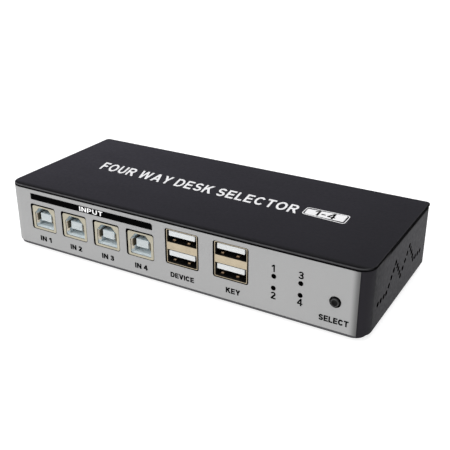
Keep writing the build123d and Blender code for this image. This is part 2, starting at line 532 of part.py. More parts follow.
for (x, y, d, h) in ((55.5, 8.5, 6.3, 7.7), (55.5, -2.5, 6.3, 7.7), (-50.0, 3.0, 6.3, 7.7), (27.0, 8.0, 5.0, 5.8)):
    c = cz(x, y, d, T + 0.7, T + h)
    c = fillet(c.edges().group_by(Axis.Z)[-1], 0.4)
    ring = Pos(x, y, T + 1.9) * Torus(d / 2 + 0.18, 0.35)
    caps.append(c - ring)
    b = bx(x - d / 2 - 0.2, x + d / 2 + 0.2, y - d / 2 - 0.2, y + d / 2 + 0.2, T + 0.05, T + 0.68)
    cap_tops.append(chamfer(b.edges().filter_by(Axis.Z).group_by(Axis.X)[0], 0.8))
save(group(*caps), "capacitor_cans")
save(group(*cap_tops), "capacitor_bases")
fuses = [chip(x, -14.3, 3.2, 2.4, 0.8) for x in (ST_X[0] - 3.0, ST_X[0] + 3.0, ST_X[1] - 3.0, ST_X[1] + 3.0)]
save(group(*fuses), "port_fuses")
smd = []
for k, x in enumerate((-59.0, -55.5, -44.0, -41.0, -12.0, -9.0, -6.0, 8.0, 11.0, 22.5, 36.0, 60.0)):
    for y in ((-3.0, 0.0) if k % 2 else (-4.0, 10.6)):
        smd.append(bx(x - 0.8, x + 0.8, y - 0.4, y + 0.4, T + 0.05, T + 0.6))
save(group(*smd), "small_passives")
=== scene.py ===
import json
import math

import bmesh
import bpy
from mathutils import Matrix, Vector
from mathutils.geometry import convex_hull_2d, delaunay_2d_cdt


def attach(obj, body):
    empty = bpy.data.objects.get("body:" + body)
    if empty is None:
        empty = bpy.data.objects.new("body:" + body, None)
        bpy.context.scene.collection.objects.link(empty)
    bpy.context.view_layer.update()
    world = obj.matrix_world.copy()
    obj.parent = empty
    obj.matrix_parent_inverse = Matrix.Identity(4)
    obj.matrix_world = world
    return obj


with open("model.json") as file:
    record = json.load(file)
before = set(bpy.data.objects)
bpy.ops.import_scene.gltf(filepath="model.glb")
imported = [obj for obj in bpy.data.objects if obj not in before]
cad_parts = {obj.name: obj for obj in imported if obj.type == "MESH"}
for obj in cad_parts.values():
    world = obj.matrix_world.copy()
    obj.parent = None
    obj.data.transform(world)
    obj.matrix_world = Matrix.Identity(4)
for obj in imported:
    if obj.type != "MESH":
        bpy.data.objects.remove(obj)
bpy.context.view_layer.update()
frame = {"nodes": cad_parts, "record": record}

NODES = frame["nodes"]
MM = 0.001

# ----------------------------------------------------------------------------
# camera: 30 degrees round to the right, 24.5 degrees up
# ----------------------------------------------------------------------------
scene = bpy.context.scene
scene.view_settings.view_transform = "Standard"
scene.view_settings.look = "None"
scene.view_settings.exposure = 0.0
scene.view_settings.gamma = 1.0

cam_data = bpy.data.cameras.new("camera")
cam_data.lens = 59.863
cam_data.sensor_width = 36.0
cam_data.clip_start = 0.01
cam_data.clip_end = 50.0
camera = bpy.data.objects.new("camera", cam_data)
scene.collection.objects.link(camera)
AZ, EL = math.radians(29.979), math.radians(24.825)
back = Vector((math.sin(AZ) * math.cos(EL), -math.cos(AZ) * math.cos(EL), math.sin(EL)))
camera.location = (0.145205, -0.242105, 0.144047)
camera.rotation_euler = back.to_track_quat("Z", "Y").to_euler()
scene.camera = camera


# ----------------------------------------------------------------------------
# node helpers
# ----------------------------------------------------------------------------
class Tree:
    """A material's node tree with short calls for the nodes used here."""

    def __init__(self, name):
        self.mat = bpy.data.materials.new(name)
        self.mat.use_nodes = True
        self.t = self.mat.node_tree
        self.t.nodes.clear()
        self.out = self.t.nodes.new("ShaderNodeOutputMaterial")
        self.bsdf = self.t.nodes.new("ShaderNodeBsdfPrincipled")
        self.t.links.new(self.bsdf.outputs[0], self.out.inputs["Surface"])
        self._co = None

    def node(self, kind, **props):
        n = self.t.nodes.new(kind)
        for k, v in props.items():
            setattr(n, k, v)
        return n

    def link(self, a, b):
        self.t.links.new(a, b)

    @property
    def co(self):
        """Object coordinates in metres: the row frame at rest."""
        if self._co is None:
            self._co = self.node("ShaderNodeTexCoord").outputs["Object"]
        return self._co

    def xyz(self):
        n = self.node("ShaderNodeSeparateXYZ")
        self.link(self.co, n.inputs[0])
        return n.outputs

    def scaled(self, sx, sy, sz, rot=(0, 0, 0)):
        n = self.node("ShaderNodeMapping")
        n.inputs["Scale"].default_value = (sx, sy, sz)
        n.inputs["Rotation"].default_value = rot
        self.link(self.co, n.inputs["Vector"])
        return n.outputs[0]

    def noise(self, scale, detail=3.0, rough=0.55, co=None, distortion=0.0):
        n = self.node("ShaderNodeTexNoise")
        n.inputs["Scale"].default_value = scale
        n.inputs["Detail"].default_value = detail
        n.inputs["Roughness"].default_value = rough
        n.inputs["Distortion"].default_value = distortion
        self.link(co if co is not None else self.co, n.inputs["Vector"])
        return n.outputs["Fac"]

    def voronoi(self, scale, feature="F1", co=None, randomness=1.0):
        n = self.node("ShaderNodeTexVoronoi", feature=feature)
        n.inputs["Scale"].default_value = scale
        n.inputs["Randomness"].default_value = randomness
        self.link(co if co is not None else self.co, n.inputs["Vector"])
        return n.outputs["Distance"]

    def wave(self, scale, co=None, direction="X", distortion=0.0):
        n = self.node("ShaderNodeTexWave", wave_type="BANDS", bands_direction=direction)
        n.inputs["Scale"].default_value = scale
        n.inputs["Distortion"].default_value = distortion
        self.link(co if co is not None else self.co, n.inputs["Vector"])
        return n.outputs["Fac"]

    def remap(self, value, a, b, lo, hi, smooth=False):
        n = self.node("ShaderNodeMapRange")
        n.interpolation_type = "SMOOTHSTEP" if smooth else "LINEAR"
        n.clamp = True
        n.inputs["From Min"].default_value = a
        n.inputs["From Max"].default_value = b
        n.inputs["To Min"].default_value = lo
        n.inputs["To Max"].default_value = hi
        self.link(value, n.inputs["Value"])
        return n.outputs["Result"]

    def math(self, op, a, b=None, clamp=False):
        n = self.node("ShaderNodeMath", operation=op)
        n.use_clamp = clamp
        for k, v in enumerate((a, b)):
            if v is None:
                continue
            if isinstance(v, (int, float)):
                n.inputs[k].default_value = v
            else:
                self.link(v, n.inputs[k])
        return n.outputs[0]

    def mix(self, fac, a, b, kind="MIX"):
        """Colour mix; a and b are rgb triples or sockets."""
        n = self.node("ShaderNodeMix", data_type="RGBA", blend_type=kind)
        if isinstance(fac, (int, float)):
            n.inputs[0].default_value = fac
        else:
            self.link(fac, n.inputs[0])
        for k, v in ((6, a), (7, b)):
            if isinstance(v, tuple):
                n.inputs[k].default_value = (*v, 1.0)
            else:
                self.link(v, n.inputs[k])
        return n.outputs[2]

    def bump(self, height, strength, distance, normal=None):
        n = self.node("ShaderNodeBump")
        n.inputs["Strength"].default_value = strength
        n.inputs["Distance"].default_value = distance
        self.link(height, n.inputs["Height"])
        if normal is not None:
            self.link(normal, n.inputs["Normal"])
        return n.outputs[0]

    def box_mask(self, lo, hi, soft=0.0002):
        """1 inside a box given in metres, 0 outside, with a soft edge."""
        x, y, z = self.xyz()
        total = None
        for s, a, b in ((x, lo[0], hi[0]), (y, lo[1], hi[1]), (z, lo[2], hi[2])):
            if a is not None:
                f = self.remap(s, a - soft, a + soft, 0, 1)
                total = f if total is None else self.math("MULTIPLY", total, f)
            if b is not None:
                f = self.remap(s, b - soft, b + soft, 1, 0)
                total = f if total is None else self.math("MULTIPLY", total, f)
        return total


def wall_depth(m, inset):
    """Distance in metres behind the box's outer outline drawn in by inset: front corners wide, rear corners tight."""
    x, y, z = m.xyz()
    ax = m.math("ABSOLUTE", x)

    def corner(cx, cy, radius, yy):
        qx = m.math("MAXIMUM", m.math("SUBTRACT", ax, cx), 0.0)
        qy = m.math("MAXIMUM", m.math("SUBTRACT", yy, cy), 0.0)
        d = m.math("SQRT", m.math("ADD", m.math("MULTIPLY", qx, qx), m.math("MULTIPLY", qy, qy)))
        return m.math("SUBTRACT", radius, d)

    front = corner(0.0745, 0.0280, 0.0055 - inset, m.math("MULTIPLY", y, -1.0))
    r = 0.0013
    rear = corner(0.080 - inset - r, 0.0335 - inset - r, r, y)
    return m.math("MINIMUM", front, rear)


def shade(rgb, k):
    return tuple(max(0.0, min(1.0, c * k)) for c in rgb)


def srgb(r, g, b):
    """0-255 screen colour to linear."""
    out = []
    for c in (r, g, b):
        c /= 255.0
        out.append(c / 12.92 if c <= 0.04045 else ((c + 0.055) / 1.055) ** 2.4)
    return tuple(out)


def material(
    name,
    base,
    rough,
    metal=0.0,
    spec=0.5,
    var=0.07,
    vscale=55.0,
    rvar=0.05,
    rscale=400.0,
    bumps=((1800.0, 0.25, 0.00003),),
    tint=None,
    stretch=None,
    coat=0.0,
    coat_rough=0.1,
    dirt=0.0,
):
    """A surface with uneven colour and gloss, and a bump for each (scale, strength, distance)."""
    m = Tree(name)
    b = m.bsdf
    b.inputs["Metallic"].default_value = metal
    b.inputs["Specular IOR Level"].default_value = spec
    if coat:
        b.inputs["Coat Weight"].default_value = coat
        b.inputs["Coat Roughness"].default_value = coat_rough
    co = m.scaled(*stretch) if stretch else None
    blotch = m.noise(vscale, 4.0, 0.6)
    colour = m.mix(
        m.remap(blotch, 0.3, 0.7, 0, 1),
        shade(base, 1 - var),
        shade(tint or base, 1 + var),
    )
    fine = m.noise(rscale, 3.0, 0.6, co=co)
    if dirt:
        grime = m.remap(m.noise(vscale * 2.3, 6.0, 0.7), 0.52, 0.72, 0, dirt)
        colour = m.mix(grime, colour, shade(base, 0.45))
    m.link(colour, b.inputs["Base Color"])
    m.link(
        m.remap(fine, 0.25, 0.75, max(0.02, rough - rvar), min(1, rough + rvar)),
        b.inputs["Roughness"],
    )
    normal = None
    for s, k, d in bumps:
        normal = m.bump(m.noise(s, 3.0, 0.6, co=co), k, d, normal)
    if normal is not None:
        m.link(normal, b.inputs["Normal"])
    return m.mat


# ----------------------------------------------------------------------------
# materials, one for each slot of the record
# ----------------------------------------------------------------------------
def lid_paint():
    """Black satin powder coat: fine orange peel, with a painted highlight along the front edge and painted shade on
    the cut sides and behind the front edge.
    """
    m = Tree("lid_paint")
    b = m.bsdf
    x, y, z = m.xyz()
    base = (0.0050, 0.0047, 0.0064)
    blotch = m.noise(38.0, 5.0, 0.62)
    colour = m.mix(m.remap(blotch, 0.3, 0.7, 0, 1), shade(base, 0.86), shade(base, 1.16))
    speck = m.remap(m.voronoi(2600.0), 0.0, 0.22, 1, 0)
    colour = m.mix(m.math("MULTIPLY", speck, 0.08), colour, (0.035, 0.035, 0.04))
    # the rolled upper edge: a painted highlight line along the front, painted shade round the other sides
    depth = wall_depth(m, 0.0)
    roll = m.math("MULTIPLY", m.remap(depth, 0.00025, 0.00050, 1, 0), m.remap(z, 0.02812, 0.02826, 0, 1))
    in_front = m.remap(y, -0.0325, -0.0300, 1, 0)
    painted_rim_highlight = m.math(
        "MULTIPLY", m.math("MULTIPLY", roll, in_front), m.remap(m.noise(300.0, 4.0, 0.7), 0.3, 0.7, 0.5, 1.0)
    )
    painted_rim_highlight = m.math("MULTIPLY", painted_rim_highlight, m.remap(x, -0.02, 0.07, 1.0, 0.55))
    colour = m.mix(painted_rim_highlight, colour, (0.058, 0.058, 0.061))
    # painted shade: a dark line a little behind the front edge
    shaded = m.math("MULTIPLY", m.remap(depth, 0.00045, 0.00060, 0, 1), m.remap(depth, 0.00120, 0.00170, 1, 0))
    shaded = m.math("MULTIPLY", m.math("MULTIPLY", shaded, in_front), 0.75)
    colour = m.mix(shaded, colour, (0.0010, 0.0010, 0.0011))
    # painted shade on the sheet's cut side and on the roll away from the light
    low = m.remap(z, 0.02795, 0.02812, 1, 0)
    behind = m.math(
        "MULTIPLY", m.remap(depth, 0.00006, 0.00036, 1, 0, smooth=True), m.math("SUBTRACT", 1.0, in_front)
    )
    edge_shade = m.math("MAXIMUM", m.math("MAXIMUM", low, behind), shaded)
    colour = m.mix(edge_shade, colour, (0.0010, 0.0010, 0.0011))
    m.link(colour, b.inputs["Base Color"])
    # painted shade: less sheen towards the right-hand end
    right_end_shade = m.remap(m.math("ADD", x, m.math("MULTIPLY", y, 0.35)), 0.048, 0.080, 1.0, 0.68)
    b.inputs["Specular IOR Level"].default_value = 0.36
    m.link(m.math("MULTIPLY", m.remap(edge_shade, 0, 1, 0.38, 0.02), right_end_shade), b.inputs["Specular IOR Level"])
    fine = m.noise(700.0, 3.0, 0.6)
    smear = m.remap(m.noise(26.0, 4.0, 0.6, co=m.scaled(1.0, 2.2, 1.0)), 0.35, 0.7, -0.02, 0.04)
    gloss = m.math("ADD", m.remap(fine, 0.25, 0.75, 0.34, 0.44), smear)
    m.link(m.math("ADD", gloss, m.math("MULTIPLY", edge_shade, 0.4), clamp=True), b.inputs["Roughness"])
    n = m.bump(m.noise(2400.0, 2.0, 0.5), 0.20, 0.00003)
    n = m.bump(m.voronoi(1500.0, "SMOOTH_F1"), 0.08, 0.00003, n)
    m.link(n, b.inputs["Normal"])
    return m.mat


# vent centres in the end walls, y and z in mm
VENTS = [(-23.5, 11.2), (-20.45, 11.2), (-17.4, 11.2), (-14.6, 11.25), (-12.3, 13.15), (-10.2, 15.35), (-8.1, 17.45),
         (-6.15, 19.6), (-4.0, 17.35), (-2.4, 15.3), (-0.6, 13.0), (1.05, 10.85), (3.2, 13.05), (5.4, 15.2),
         (7.55, 17.3), (9.8, 19.5), (11.6, 17.35), (13.35, 15.2), (15.05, 12.95), (16.5, 10.8), (19.35, 10.75),
         (22.5, 10.7), (25.5, 10.7)]


def frame_paint():
    """The same coat on the body, sprayed a little coarser."""
    m = Tree("frame_paint")
    b = m.bsdf
    b.inputs["Specular Tint"].default_value = (0.87, 0.825, 1.0, 1.0)
    x, y, z = m.xyz()
    base = (0.0083, 0.0078, 0.0112)
    blotch = m.noise(45.0, 5.0, 0.62)
    colour = m.mix(m.remap(blotch, 0.3, 0.7, 0, 1), shade(base, 0.93), shade(base, 1.08))
    speck = m.remap(m.voronoi(2100.0), 0.0, 0.25, 1, 0)
    colour = m.mix(m.math("MULTIPLY", speck, 0.09), colour, (0.035, 0.034, 0.042))
    # painted shade behind the front bends, a painted highlight in them, and a painted shadow under the lid
    shade_behind_bend = m.math("MULTIPLY", m.remap(y, -0.0306, -0.0284, 0, 1, smooth=True), m.remap(y, -0.0270, -0.0150, 1, 0))
    colour = m.mix(shade_behind_bend, colour, shade(base, 0.58))
    bend_highlight = m.remap(y, -0.0312, -0.0276, 1, 0, smooth=True)
    colour = m.mix(bend_highlight, colour, (0.0195, 0.0185, 0.0215))
    lid_shadow = m.math(
        "MULTIPLY", m.remap(z, 0.0255, 0.0268, 0, 1, smooth=True), m.remap(y, -0.0290, -0.0130, 0, 1)
    )
    colour = m.mix(m.math("MULTIPLY", lid_shadow, 0.92), colour, (0.0009, 0.0009, 0.0010))
    # painted shade: a dark ring round each vent's punched edge
    nearest = None
    for vy, vz in VENTS:
        dy, dz = m.math("SUBTRACT", y, vy * MM), m.math("SUBTRACT", z, vz * MM)
        d2 = m.math("ADD", m.math("MULTIPLY", dy, dy), m.math("MULTIPLY", dz, dz))
        nearest = d2 if nearest is None else m.math("MINIMUM", nearest, d2)
    in_end = m.remap(m.math("ABSOLUTE", x), 0.0770, 0.0772, 0, 1)
    vent_shade_ring = m.math("MULTIPLY", in_end, m.remap(m.math("SQRT", nearest), 0.00102, 0.00116, 1, 0))
    colour = m.mix(vent_shade_ring, colour, (0.0008, 0.0008, 0.0009))
    # painted highlight along the base sheet's front edge, a little uneven
    base_edge_highlight = m.math("MULTIPLY", m.remap(y, -0.0331, -0.0329, 1, 0), m.remap(z, 0.00249, 0.00252, 1, 0))
    base_edge_highlight = m.math("MULTIPLY", base_edge_highlight, m.remap(m.noise(240.0, 4.0, 0.7), 0.3, 0.7, 0.82, 1.0))
    colour = m.mix(base_edge_highlight, colour, (0.080, 0.080, 0.083))
    # painted shade: the holes and the inside are near black; the base sheet is left out of it
    hidden_shade = m.math(
        "MULTIPLY", m.remap(wall_depth(m, 0.00027), 0.00003, 0.00006, 0, 1), m.remap(z, 0.00252, 0.00254, 0, 1)
    )
    colour = m.mix(hidden_shade, colour, (0.0008, 0.0008, 0.0009))
    m.link(colour, b.inputs["Base Color"])
    # painted shade: the sheen drops where shade is painted, and towards the front and the bottom
    sheen_shade = m.math("MAXIMUM", m.math("MAXIMUM", hidden_shade, lid_shadow), m.math("MULTIPLY", shade_behind_bend, 0.42))
    front_low_shade = m.math("ADD", m.remap(y, -0.015, 0.030, 0.13, 0.0), m.remap(z, 0.0030, 0.0110, 0.10, 0.0))
    sheen_shade = m.math("MAXIMUM", m.math("MAXIMUM", sheen_shade, vent_shade_ring), front_low_shade)
    b.inputs["Specular IOR Level"].default_value = 0.06
    m.link(m.remap(sheen_shade, 0, 1, 0.073, 0.0), b.inputs["Specular IOR Level"])
    m.link(m.remap(m.noise(650.0, 3.0, 0.6), 0.25, 0.75, 0.42, 0.55), b.inputs["Roughness"])
    n = m.bump(m.noise(2000.0, 2.0, 0.5), 0.18, 0.00003)
    n = m.bump(m.voronoi(1300.0, "SMOOTH_F1"), 0.14, 0.00004, n)
    m.link(n, b.inputs["Normal"])
    return m.mat


def panel_print():
    """Silver-grey film, screen printed: fine metallic grain, with painted shade along its cut edges and at the end
    that turns the corner.
    """
    m = Tree("panel_print")
    b = m.bsdf
    b.inputs["Specular IOR Level"].default_value = 0.22
    x, y, z = m.xyz()
    base = srgb(157, 157, 157)
    blotch = m.noise(30.0, 4.0, 0.6)
    colour = m.mix(m.remap(blotch, 0.3, 0.7, 0, 1), shade(base, 0.975), shade(base, 1.02))
    grain = m.remap(m.noise(3800.0, 2.0, 0.5), 0.3, 0.7, 0, 1)
    colour = m.mix(m.math("MULTIPLY", grain, 0.10), colour, shade(base, 1.3))
    flake = m.remap(m.voronoi(4200.0), 0.0, 0.16, 1, 0)
    colour = m.mix(m.math("MULTIPLY", flake, 0.10), colour, shade(base, 0.6))
    # painted shade at the end that turns the corner
    front = m.remap(y, -0.0001, 0.0001, 1, 0)
    corner_shade = m.math("MULTIPLY", front, m.remap(x, 0.0731, 0.0762, 0, 0.70, smooth=True))
    colour = m.mix(corner_shade, colour, shade(base, 0.06))
    # painted shade: the film's cut edges and back are near black
    cut_shade = m.remap(wall_depth(m, 0.0), 0.00003, 0.00006, 0, 1)
    colour = m.mix(cut_shade, colour, (0.0015, 0.0015, 0.0015))
    m.link(colour, b.inputs["Base Color"])
    m.link(m.remap(m.noise(900.0, 3.0, 0.6), 0.25, 0.75, 0.50, 0.60), b.inputs["Roughness"])
    n = m.bump(m.noise(3000.0, 2.0, 0.5), 0.16, 0.00002)
    m.link(n, b.inputs["Normal"])
    return m.mat


def port_shell(name, base, metal=0.75, shade_inside=False, faces=()):
    """Tinned shell plate, a warm colour, with rolling marks and dull finger patches; on request, painted shade inside
    the shell and on the rim's sheared outer edge.
    """
    m = Tree(name)
    b = m.bsdf
    b.inputs["Metallic"].default_value = metal
    blotch = m.noise(220.0, 4.0, 0.6)
    colour = m.mix(m.remap(blotch, 0.3, 0.7, 0, 1), shade(base, 0.92), shade(base, 1.07))
    rolled = m.noise(900.0, 3.0, 0.6, co=m.scaled(1.0, 1.0, 14.0))
    colour = m.mix(m.remap(rolled, 0.55, 0.8, 0, 0.2), colour, shade(base, 0.75))
    if shade_inside:
        x, y, z = m.xyz()
        # painted shade inside the shell, behind its front face
        deep_shade = m.remap(y, -0.03322, -0.03312, 0, 1)
        if faces:
            # painted shade on the sheared outer edge of the rim
            bright = None
            for x0, x1, z0, z1 in faces:
                k = m.box_mask((x0 * MM, None, z0 * MM), (x1 * MM, None, z1 * MM), soft=0.00004)
                bright = k if bright is None else m.math("MAXIMUM", bright, k)
            deep_shade = m.math("MAXIMUM", deep_shade, m.math("SUBTRACT", 1.0, bright))
        colour = m.mix(deep_shade, colour, shade(base, 0.10))
        m.link(m.remap(deep_shade, 0, 1, 0.5, 0.05), b.inputs["Specular IOR Level"])
    m.link(colour, b.inputs["Base Color"])
    m.link(m.remap(rolled, 0.25, 0.75, 0.36, 0.5), b.inputs["Roughness"])
    m.link(m.bump(rolled, 0.10, 0.00002), b.inputs["Normal"])
    return m.mat


SQ_X = (-62.3, -45.9, -29.45, -13.0)


def grey_plastic():
    """Square port inserts: blue-grey housing in a lighter tone that stands in for light in the shaded cavity, a darker
    tone on the lit face of the middle tongue, painted shade above the tongue and a painted warm reflection on the
    mouth's left side.
    """
    m = Tree("grey_plastic")
    b = m.bsdf
    base = (0.66, 0.735, 0.765)
    lit_tongue_tone = (0.49, 0.53, 0.54)
    b.inputs["Subsurface Weight"].default_value = 0.55
    b.inputs["Subsurface Scale"].default_value = 0.0012
    b.inputs["Subsurface Radius"].default_value = (1.0, 1.0, 1.0)
    colour = m.mix(
        m.remap(m.noise(300.0, 3.0, 0.6), 0.3, 0.7, 0, 1), shade(base, 0.95), shade(base, 1.05)
    )
    zc = (NODE_Z["host_port_tongue"][0] + NODE_Z["host_port_tongue"][1]) / 2
    half = (NODE_Z["host_port_tongue"][1] - NODE_Z["host_port_tongue"][0]) / 2
    total = None
    for x0 in SQ_X:
        k = m.box_mask(
            ((x0 - 3.0) * MM, None, (zc - half - 0.1) * MM),
            ((x0 + 3.0) * MM, -31.6 * MM, (zc + half + 0.1) * MM),
            soft=0.00005,
        )
        total = k if total is None else m.math("MAXIMUM", total, k)
    # painted light: the lit tongue face keeps a darker tone than the housing
    colour = m.mix(total, colour, lit_tongue_tone)
    x, y, z = m.xyz()
    # painted shade above the tongue
    throat_shade = m.remap(z, 0.01665, 0.01735, 0, 1, smooth=True)
    colour = m.mix(throat_shade, colour, (0.31, 0.38, 0.41))
    # painted reflection: the mouth's left side takes the shell's warm colour
    warm_reflection = None
    for x0 in SQ_X:
        k = m.box_mask(((x0 - 5.2) * MM, None, 12.2 * MM), ((x0 - 4.12) * MM, -31.6 * MM, 16.7 * MM), soft=0.0001)
        warm_reflection = k if warm_reflection is None else m.math("MAXIMUM", warm_reflection, k)
    colour = m.mix(m.math("MULTIPLY", warm_reflection, 0.9), colour, (0.82, 0.72, 0.57))
    m.link(colour, b.inputs["Base Color"])
    m.link(m.remap(m.noise(1200.0, 3.0, 0.6), 0.25, 0.75, 0.38, 0.5), b.inputs["Roughness"])
    m.link(m.bump(m.noise(2600.0, 2.0, 0.5), 0.15, 0.00002), b.inputs["Normal"])
    return m.mat


def circuit_green():
    """Solder mask over faint copper tracks."""
    m = Tree("board_green")
    b = m.bsdf
    b.inputs["Coat Weight"].default_value = 0.4
    b.inputs["Coat Roughness"].default_value = 0.18
    base = (0.010, 0.075, 0.028)
    tracks = m.node("ShaderNodeTexBrick")
    tracks.offset = 0.37
    tracks.inputs["Scale"].default_value = 1.0
    tracks.inputs["Mortar Size"].default_value = 0.00012
    tracks.inputs["Mortar Smooth"].default_value = 0.2
    tracks.inputs["Brick Width"].default_value = 0.0046
    tracks.inputs["Row Height"].default_value = 0.0011
    m.link(m.co, tracks.inputs["Vector"])
    colour = m.mix(
        m.remap(m.noise(60.0, 4.0, 0.6), 0.3, 0.7, 0, 1), shade(base, 0.85), shade(base, 1.15)
    )
    colour = m.mix(tracks.outputs["Fac"], colour, (0.035, 0.17, 0.06))
    m.link(colour, b.inputs["Base Color"])
    m.link(m.remap(m.noise(800.0, 3.0, 0.6), 0.25, 0.75, 0.3, 0.42), b.inputs["Roughness"])
    m.link(m.bump(tracks.outputs["Fac"], 0.25, 0.00003), b.inputs["Normal"])
    return m.mat


def turned_brass():
    m = Tree("brass_turned")
    b = m.bsdf
    b.inputs["Metallic"].default_value = 1.0
    base = (0.71, 0.52, 0.22)
    rings = m.wave(900.0, direction="Z", distortion=0.3)
    colour = m.mix(m.remap(m.noise(260.0, 4.0, 0.6), 0.3, 0.7, 0, 1), shade(base, 0.85), shade(base, 1.1))
    m.link(colour, b.inputs["Base Color"])
    m.link(m.remap(rings, 0, 1, 0.22, 0.4), b.inputs["Roughness"])
    m.link(m.bump(rings, 0.18, 0.00003), b.inputs["Normal"])
    return m.mat


def button_plastic():
    """Moulded black cap, polished dish, painted highlight on the bevel round it."""
    m = Tree("button_plastic")
    b = m.bsdf
    x, y, z = m.xyz()
    dx, dz = m.math("SUBTRACT", x, 0.068), m.math("SUBTRACT", z, 0.0138)
    r = m.math("SQRT", m.math("ADD", m.math("MULTIPLY", dx, dx), m.math("MULTIPLY", dz, dz)))
    base = (0.0014, 0.0014, 0.0015)
    colour = m.mix(m.remap(m.noise(500.0, 4.0, 0.6), 0.3, 0.7, 0, 1), shade(base, 0.85), shade(base, 1.2))
    # painted highlight on the bevel ring
    bevel_highlight = m.math("MULTIPLY", m.remap(r, 0.00108, 0.00122, 0, 1), m.remap(r, 0.00150, 0.00160, 1, 0))
    colour = m.mix(m.math("MULTIPLY", bevel_highlight, 0.85), colour, (0.036, 0.036, 0.037))
    m.link(colour, b.inputs["Base Color"])
    b.inputs["Specular IOR Level"].default_value = 0.12
    m.link(m.remap(bevel_highlight, 0, 1, 0.09, 0.35), b.inputs["Specular IOR Level"])
    m.link(m.remap(m.noise(1500.0, 3.0, 0.6), 0.25, 0.75, 0.40, 0.52), b.inputs["Roughness"])
    m.link(m.bump(m.noise(4200.0, 3.0, 0.6), 0.25, 0.00002), b.inputs["Normal"])
    return m.mat


# where the middle tongue of the square ports stands, heights in mm
NODE_Z = {"host_port_tongue": (13.67, 17.08)}

SHELL_SQUARE = port_shell("port_shell_square", (0.425, 0.397, 0.312), shade_inside=True)
SHELL_REAR = port_shell("port_shell_rear", (0.60, 0.58, 0.54), 0.9)
BRACKET = port_shell("switch_bracket_plate", (0.60, 0.60, 0.59), 0.95)

HOST_METAL = material(
    "host_port_metal", (0.15, 0.125, 0.085), 0.44, metal=0.8, var=0.12, vscale=700,
    rvar=0.07, rscale=1800, bumps=((3000, 0.12, 0.00001),), stretch=(1, 6, 1),
)

# painted shade: the stack ports' housing is near black, standing in for the shade inside the ports
SHADE_LINER = material(
    "port_liner_shade", (0.0040, 0.0040, 0.0042), 0.55, spec=0.10, var=0.14, vscale=240,
    rvar=0.06, rscale=1100, bumps=((2400, 0.3, 0.00003),),
)

HOST_CONTACT = material(
    "host_port_contact_metal", (0.42, 0.44, 0.43), 0.50, metal=0.35, var=0.10, vscale=700,
    rvar=0.07, rscale=1800, bumps=((3000, 0.12, 0.00001),), stretch=(1, 6, 1),
)

